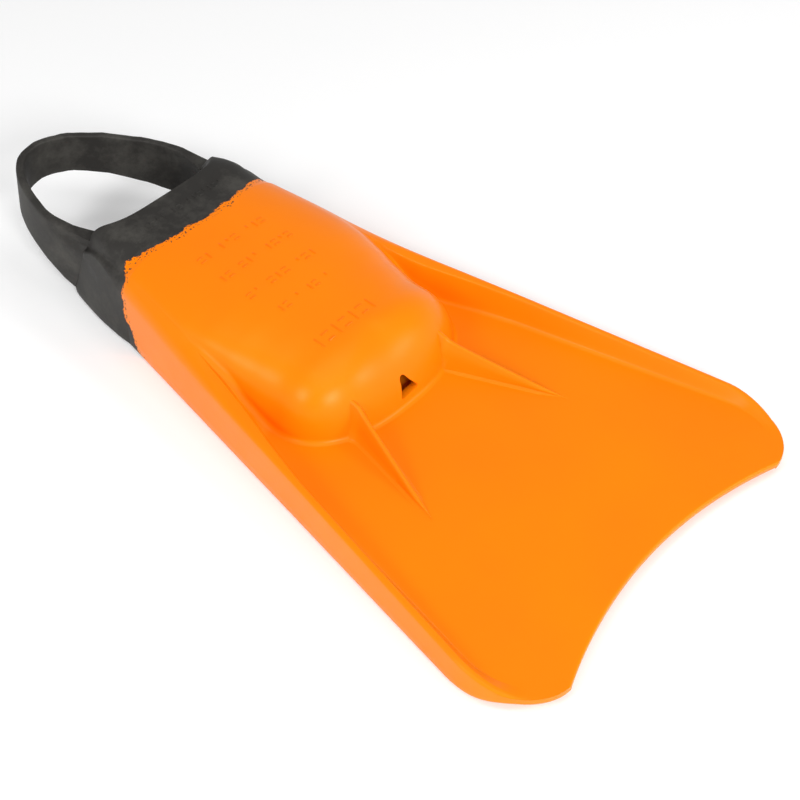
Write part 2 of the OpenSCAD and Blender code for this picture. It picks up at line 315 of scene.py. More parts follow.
def side_columns(y):
    """Positions across (x) and heights of the side from its foot to the ring round the dome."""
    w, crest, slope = side_x(y), SHOULDER_TOP(y), SLOPE_ABOVE(y)
    points = outer_side(0, crest, LEAN, SHOULDER_RADIUS(y), slope)
    inset, height = points[-1]
    room = (w - RING_X(y)) / SIDE_STRETCH
    edge = min(CREST_INSET(y), room - 1.2)
    foot = min(edge + RAIL_FACE, mix(edge, room, 0.62))
    grooved = [(mix(inset, edge, (i + 0.5) / FLAT_STEPS), crest) for i in range(FLAT_STEPS)]
    grooved += rail_tail(crest, edge, foot, room - 0.4)
    foot_end = grooved[-1][0]
    valley = [mix(foot_end, room, t) for t in (0.2, 0.4, 0.6, 0.8, 0.95)]
    grooved += [(d, WEB_TOP) for d in [*valley, room]]
    share, rise = GROOVE_SHARE(y), math.tan(math.radians(slope))
    points += [(d, mix(height + (d - inset) * rise, z, share)) for d, z in grooved]
    return np.array([(w - d * SIDE_STRETCH, z) for d, z in points])


# ---- Blade, rails and sides of the pocket ------------------------------------------------

FLOOR_COLUMNS = 13
RIM_INNER_COLUMNS = 5
EDGE_ROWS, EDGE_RADIUS = 8, 1.2
CENTRE_LAG_Y = 120.0
SEAM_ROWS = [SEAM_Y, SEAM_Y + SEAM_MARGIN, SEAM_Y + 2, *np.arange(-97, -55, 3)]
CENTRE_START = mix(CENTRE_LAG_Y, TIP_Y - TRAILING_DEPTH, 0.484)


def cavity_x(y):
    if y < TOE_BEND_Y:
        return pocket_half_width(y) - WALL
    return (TOE_HALF_WIDTH - WALL) * side_x(y) / side_x(TOE_BEND_Y)


def floor_z(y):
    return mix(SOLE_TOP, WEB_TOP, smooth(y, -6, 10))


def ledge_step(y):
    """How far the ledge hidden under the dome lies below the ring. It fades out towards the toe."""
    return 1.0 - smooth(y, 4, 12)


def inner_columns(y, ring):
    """From the ring round the dome inwards: hidden under the dome, then the floor inside the pocket."""
    wall_x = cavity_x(y)
    ledge = ring[1] - ledge_step(y)
    columns = [(ring[0] - SEAM_MARGIN, ledge), (wall_x + 0.8, ledge), (wall_x, floor_z(y))]
    return columns + [(wall_x * (1 - (i + 1) / FLOOR_COLUMNS), floor_z(y)) for i in range(FLOOR_COLUMNS)]


def straight_row(y):
    """One row across the half fin, as top and bottom points."""
    columns = side_columns(y)
    if y > TOE_BEND_Y:
        grow = side_x(y) / side_x(TOE_BEND_Y)
        valley = np.linspace(columns[EDGE_COLUMNS - 1][0], RING_X(y) * grow, VALLEY_STEPS + 1)[1:]
        columns[EDGE_COLUMNS:, 0] = valley
    return np.concatenate([columns, inner_columns(y, columns[-1])])


def underside(y, top, foot=0.0):
    """Positions and heights of the underside below a row: the rim at the foot, the web above it."""
    edge = side_x(y) - SIDE_STRETCH
    web = smooth(y, 3, 9)
    xs, zs = top[:, 0].copy(), np.full(len(top), mix(foot, WEB_BOTTOM, web))
    rim = EDGE_COLUMNS - RIM_INNER_COLUMNS
    xs[:EDGE_COLUMNS] = np.linspace(edge, min(xs[EDGE_COLUMNS - 1], edge - 9), EDGE_COLUMNS)
    if web > 0:
        xs[: rim + 1] = np.linspace(edge, side_x(y) - 8.3, rim + 1)
        xs[rim + 1 : rim + 3] = side_x(y) - np.array([8.6, 8.9])
        inner = side_x(y) - 9.2
        xs[rim + 3 : EDGE_COLUMNS] = inner, min(xs[EDGE_COLUMNS - 1], inner - 0.2)
    zs[:rim] = foot
    zs[rim] = mix(foot, foot + 0.3, web)
    first_hidden = EDGE_COLUMNS + VALLEY_STEPS
    if y < TOE_BEND_Y:
        half = pocket_half_width(y)
        xs[first_hidden : first_hidden + 2] = half + 0.2, half - 0.6
    zs[first_hidden + 1 :] = np.maximum(zs[first_hidden + 1 :], 4.0)
    return np.stack([xs, zs], axis=1)


def plate_rows():
    """Rows from the seam to the trailing edge: outline point, way inwards, middle, y, crest, foot."""
    ys = [*SEAM_ROWS, *np.arange(-55, 30, 2), *np.arange(30, CORNER_START_Y - 1, 5)]
    rows = []
    for y in ys:
        turned = smooth(y, CENTRE_LAG_Y, CORNER_START_Y)
        inward = mix(np.array([-1.0, 0.0]), SIDE_INWARD, turned)
        inward /= inward @ SIDE_INWARD
        lag = max(0.0, y - CENTRE_LAG_Y) / (CORNER_START_Y - CENTRE_LAG_Y)
        middle = y if y < CENTRE_LAG_Y else mix(CENTRE_LAG_Y, CENTRE_START, lag)
        rows.append((np.array([side_x(y), y]), inward, middle, y, SHOULDER_TOP(y), 0.0))
    for t in [*np.linspace(0, 0.94, 25), 0.96, 0.975, 0.985, 0.9925, 0.9975, 1.0]:
        blend = smooth(t, 0.5, 1.0)
        inward = mix(corner_inward(t), TRAILING_INWARD, blend)
        inward /= np.linalg.norm(inward)
        fade = 1 - smooth(t, 0.0, 0.62) ** 0.8
        crest = WEB_TOP + (RAIL_TIP - WEB_TOP) * fade
        foot = WEB_BOTTOM * smooth(t, 0.15, 0.55)
        middle = mix(CENTRE_START, TIP_Y - TRAILING_DEPTH, t)
        rows.append((corner_point(t), inward, middle, CORNER_START_Y, crest, foot))
    return rows


def trailing_y(x):
    return TIP_Y - TRAILING_DEPTH * (1 - (x / TIP_HALF_DISTANCE) ** 2)


def edge_drop(x, y, radius):
    """How far the web's faces round off towards the trailing edge."""
    away = max(0.0, (trailing_y(x) - y) * 0.95)
    if away >= radius:
        return 0.0
    return radius - math.sqrt(max(0.0, radius**2 - (radius - away) ** 2))


def place_row(row, section, edge_insets):
    """Puts a row's section on its outline point: the rim follows the way inwards, the rest a curve."""
    point, inward, middle = row[:3]
    rim = [point + inward * d for d in edge_insets]
    start_x, start_y = rim[-1]
    outline = section[EDGE_COLUMNS - 1][0]
    placed = [(p[0], p[1], z) for p, z in zip(rim, section[:EDGE_COLUMNS, 1])]
    for x, z in section[EDGE_COLUMNS:]:
        share = x / outline
        px = start_x * share
        placed.append((px, middle + (start_y - middle) * share**2, z))
    return placed


def blade_and_sides():
    """The web, the rails and the sides of the pocket with the floor inside it, moulded in one."""
    top, bottom = [], []
    for row in plate_rows():
        y, crest, foot = row[3:]
        section = straight_row(y)
        base = underside(y, section)
        w = side_x(y)
        if y >= CORNER_START_Y:
            lean = LEAN * (crest - WEB_TOP) / (RAIL_TIP - WEB_TOP)
            rail = rail_section(crest, foot, lean)
            section[:EDGE_COLUMNS, 0] = w - rail[:, 0] * SIDE_STRETCH
            section[:EDGE_COLUMNS, 1] = rail[:, 1]
            base[: EDGE_COLUMNS - RIM_INNER_COLUMNS + 1, 1] = foot
        top.append(place_row(row, section, (w - section[:EDGE_COLUMNS, 0]) / SIDE_STRETCH))
        bottom.append(place_row(row, base, (w - base[:EDGE_COLUMNS, 0]) / SIDE_STRETCH))
    top, bottom = np.array(top), np.array(bottom)
    for grid, sign in ((top, -1), (bottom, 1)):
        for p in grid[-EDGE_ROWS:].reshape(-1, 3):
            drop = edge_drop(p[0], p[1], EDGE_RADIUS)
            p[2] = min(p[2], WEB_TOP - drop) if sign < 0 else max(p[2], WEB_BOTTOM + drop)
    surface = Surface()
    upper = surface.add(both_halves(top))
    lower = surface.add(both_halves(bottom))
    surface.sheet(upper)
    surface.sheet(lower)
    surface.strip(upper[0], lower[0])
    surface.strip(upper[-1], lower[-1])
    surface.strip(upper[:, 0], lower[:, 0])
    surface.strip(upper[:, -1], lower[:, -1])
    return surface.build("blade_and_rails")


# ---- Dome over the toes --------------------------------------------------------------------

PROFILE_FILLET, PROFILE_CURVE = 7, 30
TOE_STEPS = 44
DOME_SINK = 0.02
LINING_SINK = 0.5
TOE_SQUARE = 2.3


def dome_shape(ring, top, slopes, square, fillet):
    """From the ring: a fillet that turns up into the wall, then over to the middle in one curve."""
    x, z = ring
    c0, s0 = turn(slopes[0])
    points = []
    for i in range(PROFILE_FILLET):
        c, s = turn(mix(slopes[0], slopes[1], i / (PROFILE_FILLET - 1)))
        points.append((x - fillet * (s - s0) - 0.12 * i * c, z + fillet * (c0 - c) + 0.12 * i * s))
    start, middle = np.array(points[-1]), np.array([0.0, top])
    c, s = turn(slopes[1])
    corner = np.array([max(start[0] * 0.4, start[0] - (top - start[1]) * c / s), top])
    for i in range(1, PROFILE_CURVE + 1):
        t = (i / PROFILE_CURVE) ** 1.15
        points.append(bezier(start, mix(start, corner, square), mix(middle, corner, square), middle, t))
    return np.array(points)


def dome_profile(y):
    """Section of the dome beside the foot, from the ring to the middle."""
    ring = side_columns(y)[-1] + [0, DOME_SINK]
    slopes = SLOPE_ABOVE(y) * (1 - GROOVE_SHARE(y)), WALL_SLOPE(y)
    return dome_shape(ring, pocket_top(y), slopes, DOME_SQUARE(y), DOME_FILLET(y))


def toe_profile(ring):
    """Section of the toe from a point of its ring to the middle, as shares of the way out, and heights."""
    reach = np.linalg.norm(ring)
    ahead = (ring[1] / reach) ** 2
    ring_point, slopes = (reach, WEB_TOP + DOME_SINK), (0, mix(80, 77, ahead))
    shape = dome_shape(ring_point, TOE_TOP, slopes, mix(0.74, 0.58, ahead), DOME_FILLET(TOE_BEND_Y))
    return shape / [reach, 1]


def shrunk(profile, across, base, top):
    """The lining below a profile: the same curve, drawn in across and between two heights."""
    low_z, high_z = profile[0][1], profile[-1][1]
    heights = base + (profile[:, 1] - low_z) * (top - base) / (high_z - low_z)
    return np.stack([profile[:, 0] * across / profile[0][0], heights], axis=1)


def dome():
    """Outer and inner skins of the pocket's upper, open towards the heel."""
    ys = [*SEAM_ROWS, *np.arange(-55, TOE_BEND_Y - 1, 2), TOE_BEND_Y]
    outer, inner = [], []
    for y in ys:
        profile = dome_profile(y)
        outer.append([(x, y, z) for x, z in profile])
        base = profile[0][1] - ledge_step(y) - LINING_SINK
        lining = shrunk(profile, cavity_x(y), base, pocket_top(y) - WALL)
        inner.append([(x, y, z) for x, z in lining])
    for i in range(1, TOE_STEPS // 2 + 1):
        c, s = turn(180 * i / TOE_STEPS)
        wide = (c**TOE_SQUARE + s**TOE_SQUARE) ** (-1 / TOE_SQUARE) if c > 0 else 1.0
        ring = np.array([RING_X(TOE_BEND_Y) * c, (TOE_FRONT_Y - TOE_BEND_Y) * s]) * wide
        profile = toe_profile(ring)
        outer.append([(ring[0] * r, TOE_BEND_Y + ring[1] * r, z) for r, z in profile])
        lining = shrunk(profile, 1.0, WEB_TOP - LINING_SINK, TOE_TOP - WALL)
        reach = np.array([(TOE_HALF_WIDTH - WALL) * c, (TOE_FRONT_Y - TOE_BEND_Y - WALL - 1.0) * s])
        inner.append([(reach[0] * r, TOE_BEND_Y + reach[1] * r, z) for r, z in lining])
    surface = Surface()
    tables = []
    for grid in (outer, inner):
        grid = np.array(grid)
        whole = np.concatenate([grid, (grid * [-1, 1, 1])[-2::-1]])
        tables.append(surface.add(whole))
        surface.sheet(tables[-1])
    surface.strip(tables[0][:, 0], tables[1][:, 0])
    surface.strip(tables[0][0], tables[1][0])
    surface.strip(tables[0][-1], tables[1][-1])
    obj = surface.build("pocket_upper_skin")
    cut_drain(obj)
    return obj


def cut_drain(obj):
    """Cuts the drain hole, a rounded triangle, through the front of the toe."""
    corners = [(-4.8, WEB_TOP + 6.6, 1.3), (4.8, WEB_TOP + 6.0, 1.3), (1.4, WEB_TOP + 12.6, 2.4)]
    outline = []
    for n, (x, z, r) in enumerate(corners):
        for i in range(9):
            c, s = turn(210 + 120 * n - 60 + 120 * i / 8)
            outline.append((x + r * c, z + r * s))
    surface = Surface()
    middle = np.mean(outline, axis=0)
    rings = []
    for y, widening in ((TOE_FRONT_Y - 22, 2.4), (TOE_FRONT_Y - 6, 1.0), (TOE_FRONT_Y + 12, 1.0)):
        ring = middle + (np.array([*outline, outline[0]]) - middle) * widening
        rings.append([(x, y, z) for x, z in ring])
    table = surface.add(rings)
    surface.sheet(table)
    for ring in (table[0], table[-1]):
        surface.faces.append(tuple(ring[:-1]))
    cutter = surface.build("drain_cutter")
    hole = obj.modifiers.new("drain", "BOOLEAN")
    hole.operation = "DIFFERENCE"
    hole.solver = "EXACT"
    hole.object = cutter
    bpy.context.view_layer.update()
    cut = bpy.data.meshes.new_from_object(obj.evaluated_get(bpy.context.evaluated_depsgraph_get()))
    obj.modifiers.clear()
    obj.data = cut
    bpy.data.objects.remove(cutter)
    clean(cut, SHARP_DEGREES)


# ---- Ribs -----------------------------------------------------------------------------------

RIB_STEPS = [0, 0.04, 0.07, 0.085, 0.1, 0.115, 0.13, 0.16, *np.linspace(0.2, 0.96, 20), 0.985, 1.0]
RIB_HEIGHT, RIB_SINK = 18.5, -0.6


def rib(side, name):
    """A long wedge from the toe out over the blade, with its wider slope towards the middle."""
    box_low, box_high = low(name), high(name)
    back_y, tip_y = TOE_FRONT_Y - 15, box_high[1] + 1
    root_x, tip_x = 33.4, max(abs(box_low[0]), abs(box_high[0])) - 1
    rings = []
    for t in RIB_STEPS:
        y = mix(back_y, tip_y, t)
        x = mix(root_x, tip_x, max(0.0, (y - TOE_FRONT_Y + 8) / (tip_y - TOE_FRONT_Y + 8)))
        flare = math.exp(-max(0.0, y - TOE_FRONT_Y + 7.5) / 1.8)
        height = RIB_HEIGHT * (1 - t) ** 1.12 + 0.05 + 1.5 * flare
        spread = min(1.0, height / 3)
        inner = 0.34 * height + 0.9 * spread + 1.4 * flare
        outer = 0.28 * height + 1.0 * spread + 1.4 * flare
        crest = 1.5 * spread
        fillet = 1.6 * spread
        section = [(-inner - fillet * 1.3, RIB_SINK), (-inner - fillet, 0.02)]
        section += [(-inner - fillet * 0.3, 0.12 * fillet), (-inner + 0.3 * fillet, 0.42 * fillet)]
        section.append((mix(-inner, -crest, 0.5), height * 0.5))
        for i in range(5):
            c, s = turn(mix(150, 15, i / 4))
            section.append((crest * c, height - crest * (1 - s)))
        section += [(mix(outer, crest, 0.5), height * 0.5), (outer - 0.2 * fillet, 0.5 * fillet)]
        section += [(outer + fillet * 0.3, 0.13 * fillet), (outer + fillet, 0.02)]
        section += [(outer + fillet * 1.3, RIB_SINK)]
        rings.append([(side * (x + dx), y, WEB_TOP + dz) for dx, dz in [*section, section[0]]])
    surface = Surface()
    table = surface.add(rings)
    surface.sheet(table)
    for ring in (table[0], table[-1]):
        surface.faces.append(tuple(ring[:-1]))
    return surface.build(name + "_skin", 45)


# ---- Sole pad ---------------------------------------------------------------------------------

PAD_TOE_STEPS = 24
PAD_EDGE = [(0.5, 4.2), (0, 3.8), (0, 0.9), (0.25, 0.3), (0.9, 0)]


def sole_pad():
    """The outsole under the pocket, a flat pad with a rounded edge."""
    outline = [(pocket_half_width(y), y) for y in [SEAM_Y, *np.arange(-96, TOE_BEND_Y, 8), TOE_BEND_Y]]
    for i in range(1, PAD_TOE_STEPS):
        c, s = turn(90 * i / PAD_TOE_STEPS)
        outline.append((TOE_HALF_WIDTH * c, TOE_BEND_Y + (TOE_FRONT_Y - TOE_BEND_Y) * s))
    outline.append((0.0, TOE_FRONT_Y))
    half = np.array(outline)
    loop = np.concatenate([half, (half * [-1, 1])[-2::-1]])
    middle = np.array([0.0, -20.0])
    rings = []
    for inset, z in PAD_EDGE:
        ring = (loop - middle) * (1 - inset / TOE_HALF_WIDTH) + middle
        ring[:, 1] = np.where(loop[:, 1] <= SEAM_Y, SEAM_Y, ring[:, 1])
        rings.append([(x, y, z) for x, y in ring])
    surface = Surface()
    table = surface.add(rings)
    surface.sheet(table)
    for face in (table[0], table[-1]):
        surface.strip(face[: len(half)], face[::-1][: len(half)])
    surface.faces.append((*table[:, 0], *table[::-1, -1]))
    return surface.build("pocket_sole_skin")


# ---- Black heel end ------------------------------------------------------------------------------

SOLE_COLUMNS, LINING_FLOOR_COLUMNS = 8, 10
LEDGE_LENGTH = 24.0
PANEL_TOP = smooth_line((-158, 27), (-142, 37), (-128, 42.6), (-115, 42.6), (SEAM_Y, SHOULDER_TOP(SEAM_Y)))
HEEL_BULGE = smooth_line((-160, 0.8), (-152, 2.2), (-132, 2.8), (-112, 1.6), (SEAM_Y, 0))


def heel_section(y):
    """Outer half loop of the heel end: sole, raised side panel, ledge, wall and crown."""
    ledge = smooth(-y, -SEAM_Y, -SEAM_Y + LEDGE_LENGTH)
    bulge = HEEL_BULGE(y)
    w, lean = side_x(y) + bulge, LEAN + bulge
    slope = mix(45, 12, ledge)
    side = outer_side(0, PANEL_TOP(y), lean, mix(SHOULDER_RADIUS(SEAM_Y), 1.6, ledge), slope)
    side[FOOT_COLUMNS:FOOT_COLUMNS] = [(lean * 0.04, 3.4), (lean * 0.08, 5.6)]
    c, s = turn(slope)
    inset, height = side[-1]
    room = mix((w - RING_X(SEAM_Y)) / SIDE_STRETCH, inset + 1.6, ledge)
    side += [(mix(inset, room, t), height + (room - inset) * t * s / c) for t in (0.33, 0.66, 1)]
    side = np.array([(w - d * SIDE_STRETCH, z) for d, z in side])
    slopes = mix(45, 30, ledge), mix(WALL_SLOPE(SEAM_Y), 72, ledge)
    square, fillet = mix(DOME_SQUARE(SEAM_Y), 0.92, ledge), mix(3, 1.5, ledge)
    crown = dome_shape(side[-1] + [0, DOME_SINK], pocket_top(y), slopes, square, fillet)[1:]
    sole = [(side[0][0] * i / SOLE_COLUMNS, 0.0) for i in range(SOLE_COLUMNS)]
    return np.concatenate([sole, side, crown])


def lining_curve(y):
    """Inner half loop of the heel end: floor, wall and the inside of the crown."""
    wall_x = pocket_half_width(y) - WALL
    floor = [(wall_x * i / LINING_FLOOR_COLUMNS, SOLE_TOP) for i in range(LINING_FLOOR_COLUMNS)]
    arch = shrunk(heel_section(y)[SOLE_COLUMNS:], wall_x, SOLE_TOP, pocket_top(y) - WALL)
    return np.concatenate([floor, arch])


def along(curve):
    """Share of the length of a curve at each of its points."""
    steps = np.linalg.norm(np.diff(curve, axis=0), axis=1)
    return np.concatenate([[0], np.cumsum(steps)]) / steps.sum()


def resample(curve, shares):
    at = along(curve)
    return np.stack([np.interp(shares, at, curve[:, i]) for i in range(curve.shape[1])], axis=1)


ROOT_LOW, ROOT_HIGH = 3.0, 45.5
ROOT_LOW_Y, ROOT_HIGH_Y = MOUTH_Y - 1.5, MOUTH_Y + 13
ROOT_MIN_X = 44.0
SEAM_STRIP = 2.0
HEEL_STEPS = [0, SEAM_MARGIN, SEAM_STRIP, *np.linspace(5, 100, 18)]


def mouth_line(x, z):
    """The y where the heel end stops, at a place on its section."""
    if z >= ROOT_HIGH:
        return mix(INSTEP_Y + 9, ROOT_HIGH_Y + 2, min(1.0, x / 46.5) ** 4.5)
    if z >= ROOT_LOW:
        return mix(ROOT_LOW_Y, ROOT_HIGH_Y + 2, (z - ROOT_LOW) / (ROOT_HIGH - ROOT_LOW))
    return ROOT_LOW_Y + 2.5 * (1 - z / ROOT_LOW) * min(1.0, max(0.0, x - ROOT_MIN_X) / 4)


def heel_end():
    """The black tube round the heel opening. Returns the piece and the strap's root lines."""
    shape = heel_section(INSTEP_Y + 2)
    count = len(shape)
    backs = np.array([mouth_line(x, z) for x, z in shape])
    lining_shares = along(shape)
    outer, inner = [], []
    for step in HEEL_STEPS:
        if step <= SEAM_STRIP:
            ys = [SEAM_Y - step] * count
        else:
            ys = [mix(SEAM_Y - SEAM_STRIP, back, (step - SEAM_STRIP) / (100 - SEAM_STRIP)) for back in backs]
        outer.append([(*heel_section(y)[j], y) for j, y in enumerate(ys)])
        linings = (resample(lining_curve(y), lining_shares[j : j + 1])[0] for j, y in enumerate(ys))
        inner.append([(*point, y) for point, y in zip(linings, ys)])
    outer = np.array(outer)[:, :, [0, 2, 1]]
    inner = np.array(inner)[:, :, [0, 2, 1]]
    root = [
        j for j, (x, z) in enumerate(shape)
        if j >= SOLE_COLUMNS and x > ROOT_MIN_X and ROOT_LOW <= z <= ROOT_HIGH
    ]
    soft = np.ones(count)
    soft[root[0] : root[-1] + 1] = 0
    rims = []
    for back, share in ((0.45, 0.12), (0.8, 0.5), (0.45, 0.88)):
        loop = mix(outer[-1], inner[-1], share)
        loop[:, 1] -= soft * back
        rims.append(loop)
    halves = [*outer, *rims, *inner[::-1]]
    rings = [np.concatenate([half, (half * [-1, 1, 1])[-2:0:-1], half[:1]]) for half in halves]
    surface = Surface()
    table = surface.add(rings)
    surface.sheet(table)
    surface.strip(table[-1], table[0])
    lines = outer[-1][root[0] : root[-1] + 1], inner[-1][root[0] : root[-1] + 1]
    return surface.build("heel_end_skin"), lines


# ---- Heel strap ---------------------------------------------------------------------------------

STRAP_THICKNESS = 4.5
STRAP_SHARES = np.array([0, 0.008, 0.02, 0.04, *np.linspace(0.1, 0.9, 13), 0.96, 0.98, 0.992, 1])
STRAP_ROUND = 1.3
STRAP_REACH_X, STRAP_START_Y = 50.2, -147.9
STRAP_FLOP = 22.9
STRAP_HEEL_TOP, STRAP_HEEL_BOTTOM = 60.9, 35.7
STRAP_SLANT = 2.7
ROOT_BLEND_DEGREES = 36


def strap_middle(a):
    """The band's middle line round the heel. The soft band has flopped over to one side."""
    c, s = math.cos(math.radians(a)), max(0.0, math.sin(math.radians(a))) ** 1.7
    reach_y = STRAP_START_Y - HEEL_BACK_Y - STRAP_THICKNESS / 2
    x = math.copysign(STRAP_REACH_X * abs(c) ** 0.92, c) + STRAP_FLOP * s
    return np.array([x, STRAP_START_Y - reach_y * s])


def strap_ring(a):
    """Outer and inner points of the band at an angle round the heel. Its edges are a little uneven."""
    before, after = strap_middle(max(0, a - 0.5)), strap_middle(min(180, a + 0.5))
    ahead = (after - before) / np.linalg.norm(after - before)
    outward = np.array([-ahead[1], ahead[0]])
    s = math.sin(math.radians(a))
    rough = 0.22 * math.sin(a * 1.7) + 0.16 * math.sin(a * 4.1 + 1) + 0.12 * math.sin(a * 9.7 + 2)
    bottom = mix(ROOT_LOW, STRAP_HEEL_BOTTOM, s**1.6) + rough * 0.8
    top = mix(ROOT_HIGH - 1.5, STRAP_HEEL_TOP, s**2) + rough
    height = top - bottom
    rings = []
    for side in (1, -1):
        points = []
        for share in STRAP_SHARES:
            edge = min(share, 1 - share) * height
            cut = max(0.0, STRAP_ROUND - edge)
            half = STRAP_THICKNESS / 2 - (STRAP_ROUND - math.sqrt(max(0.0, STRAP_ROUND**2 - cut**2)))
            p = strap_middle(a) + outward * (half * side + STRAP_SLANT * s * (1 - share))
            points.append((p[0], p[1], bottom + share * height))
        rings.append(np.array(points))
    return rings


def heel_strap(lines):
    """The strap round the heel, which grows out of the sides of the heel end."""
    roots = [resample(np.array(line), STRAP_SHARES) for line in lines]
    half = [0, 0.4, 1.5, 3, 5, 8, *np.arange(12, 90.1, 3)]
    angles = [*half, *[180 - a for a in half[-2::-1]]]
    rings = []
    for a in angles:
        end, mirror = (0, [1, 1, 1]) if a <= 90 else (180, [-1, 1, 1])
        pull = 1 - smooth(min(a, 180 - a), 0, ROOT_BLEND_DEGREES)
        sides = strap_ring(a)
        starts = strap_ring(end)
        outer, inner = (sides[k] + (roots[k] * mirror - starts[k]) * pull for k in (0, 1))
        rings.append(np.concatenate([outer, inner[::-1], outer[:1]]))
    surface = Surface()
    table = surface.add(rings)
    surface.sheet(table)
    for ring in (table[0], table[-1]):
        count = len(STRAP_SHARES)
        surface.strip(ring[:count], ring[count : 2 * count][::-1])
    return surface.build("heel_strap_skin")


# ---- Raised marks -------------------------------------------------------------------------------

MARK_LIFT, MARK_SINK, MARK_STROKE = 0.35, 0.4, 1.2
MARK_BEVEL = 0.2


def band_height(x, y):
    section = heel_section(y)
    top = section[np.argmax(section[:, 0]) :]
    return float(np.interp(abs(x), top[::-1, 0], top[::-1, 1]))


def dome_height(x, y):
    profile = dome_profile(min(y, TOE_BEND_Y))
    return float(np.interp(abs(x), profile[::-1, 0], profile[::-1, 1]))


def add_mark(surface, height, centre, size):
    """A raised bar lying on a surface given as its height over (x, y)."""
    (cx, cy), (w, d) = centre, size
    columns = np.linspace(-d / 2, d / 2, 7)
    rim = [cx - w / 2, cx + (-w / 2 + MARK_BEVEL), cx + (w / 2 - MARK_BEVEL), cx + w / 2]
    rings = []
    for dy in columns:
        end = abs(dy) > d / 2 - 0.01
        lift = MARK_LIFT * (0.3 if end else 1.0)
        lifts = (-MARK_SINK, lift, lift, -MARK_SINK)
        ring = [(x, cy + dy, height(x, cy + dy) + up) for x, up in zip(rim, lifts)]
        rings.append([*ring, ring[0]])
    table = surface.add(rings)
    surface.sheet(table)
    for ring in (table[0], table[-1]):
        surface.faces.append(tuple(ring[:-1]))


def marks(name, height, rows):
    """Rows of plain bars of a few kinds: tall, short, and lying."""
    surface = Surface()
    for y, start, end, tall, pattern in rows:
        step = (end - start) / (len(pattern) - 1)
        for n, kind in enumerate(pattern):
            x = start + n * step
            if kind == "I":
                add_mark(surface, height, (x, y), (MARK_STROKE, tall))
            elif kind == "i":
                add_mark(surface, height, (x, y - tall / 4), (MARK_STROKE, tall / 2))
            elif kind == "=":
                add_mark(surface, height, (x, y - tall / 3), (step * 0.6, MARK_STROKE))
                add_mark(surface, height, (x, y + tall / 3), (step * 0.6, MARK_STROKE))
    return surface.build(name)


# ---- Materials ------------------------------------------------------------------------------------
# Places and scales inside a material are in metres.


class Nodes:
    """Short calls for making a node tree."""

    def __init__(self, name):
        self.material = bpy.data.materials.new(name)
        self.material.use_nodes = True
        self.tree = self.material.node_tree
        self.shader = self.tree.nodes["Principled BSDF"]

    def add(self, kind, **values):
        node = self.tree.nodes.new("ShaderNode" + kind)
        for key, value in values.items():
            if hasattr(node, key):
                setattr(node, key, value)
            else:
                node.inputs[key].default_value = value
        return node

    def link(self, source, target):
        self.tree.links.new(source, target)

    def math(self, operation, a, b=0.0):
        node = self.add("Math", operation=operation)
        for slot, value in enumerate((a, b)):
            if isinstance(value, (int, float)):
                node.inputs[slot].default_value = value
            else:
                self.link(value, node.inputs[slot])
        return node.outputs[0]

    def noise(self, position, scale, detail, rough=0.5):
        node = self.add("TexNoise", Scale=scale, Detail=detail, Roughness=rough)
        self.link(position, node.inputs["Vector"])
        return node.outputs[0]

    def spread(self, value, low_in, high_in, low_out=0.0, high_out=1.0):
        node = self.add("MapRange")
        self.link(value, node.inputs[0])
        for slot, number in zip(range(1, 5), (low_in, high_in, low_out, high_out)):
            node.inputs[slot].default_value = number
        return node.outputs[0]

    def blend(self, share, a, b):
        node = self.add("Mix", data_type="RGBA")
        self.link(share, node.inputs[0])
        for slot, value in ((6, a), (7, b)):
            if isinstance(value, tuple):
                node.inputs[slot].default_value = (*value, 1)
            else:
                self.link(value, node.inputs[slot])
        return node.outputs[2]


ORANGE = (0.96, 0.224, 0.001)
ORANGE_DEEP = (0.94, 0.204, 0.001)
CHARCOAL = (0.022, 0.020, 0.0175)
CHARCOAL_WORN = (0.075, 0.071, 0.062)


# Where the two rubbers meet, as (height, y) knots, inside a height and a range of y.
SEAM_HEIGHT, SEAM_BACK, SEAM_FRONT = 60, -115, -75
SEAM_LINE = [
    (0, -87), (5, -94), (18, -102.5), (30, -105), (40, -102), (45, -108.5), (49, -107), (51.5, -101),
    (53.2, -97),
]


def seam_mask(nodes, position, y, z):
    """1 on the orange side of the ragged line between the rubbers, 0 on the black side and its flecks."""
    line = nodes.add("ValToRGB")
    nodes.link(nodes.spread(z, 0.0, SEAM_HEIGHT / MM), line.inputs[0])
    ramp = line.color_ramp
    ramp.interpolation = "B_SPLINE"
    span = SEAM_FRONT - SEAM_BACK
    values = [(height / SEAM_HEIGHT, (place - SEAM_BACK) / span) for height, place in SEAM_LINE]
    ramp.elements[0].position = values[0][0]
    ramp.elements[0].color = (values[0][1],) * 3 + (1,)
    ramp.elements[1].position = values[-1][0]
    ramp.elements[1].color = (values[-1][1],) * 3 + (1,)
    for place, value in values[1:-1]:
        element = ramp.elements.new(place)
        element.color = (value,) * 3 + (1,)
    wanted = nodes.spread(line.outputs[0], 0.0, 1.0, SEAM_BACK / MM, SEAM_FRONT / MM)
    broad = nodes.spread(nodes.noise(position, 60, 2), 0.3, 0.7, -0.0022, 0.0022)
    ragged = nodes.spread(nodes.noise(position, 420, 6, 0.7), 0.3, 0.7, -0.0013, 0.0013)
    away = nodes.math("SUBTRACT", y, wanted)
    away = nodes.math("ADD", away, nodes.math("ADD", broad, ragged))
    flecks = nodes.math("GREATER_THAN", nodes.noise(position, 900, 3), 0.60)
    near = nodes.math("LESS_THAN", away, 0.0035)
    mask = nodes.spread(away, -0.00015, 0.00015)
    return nodes.math("MULTIPLY", mask, nodes.math("SUBTRACT", 1.0, nodes.math("MULTIPLY", flecks, near)))


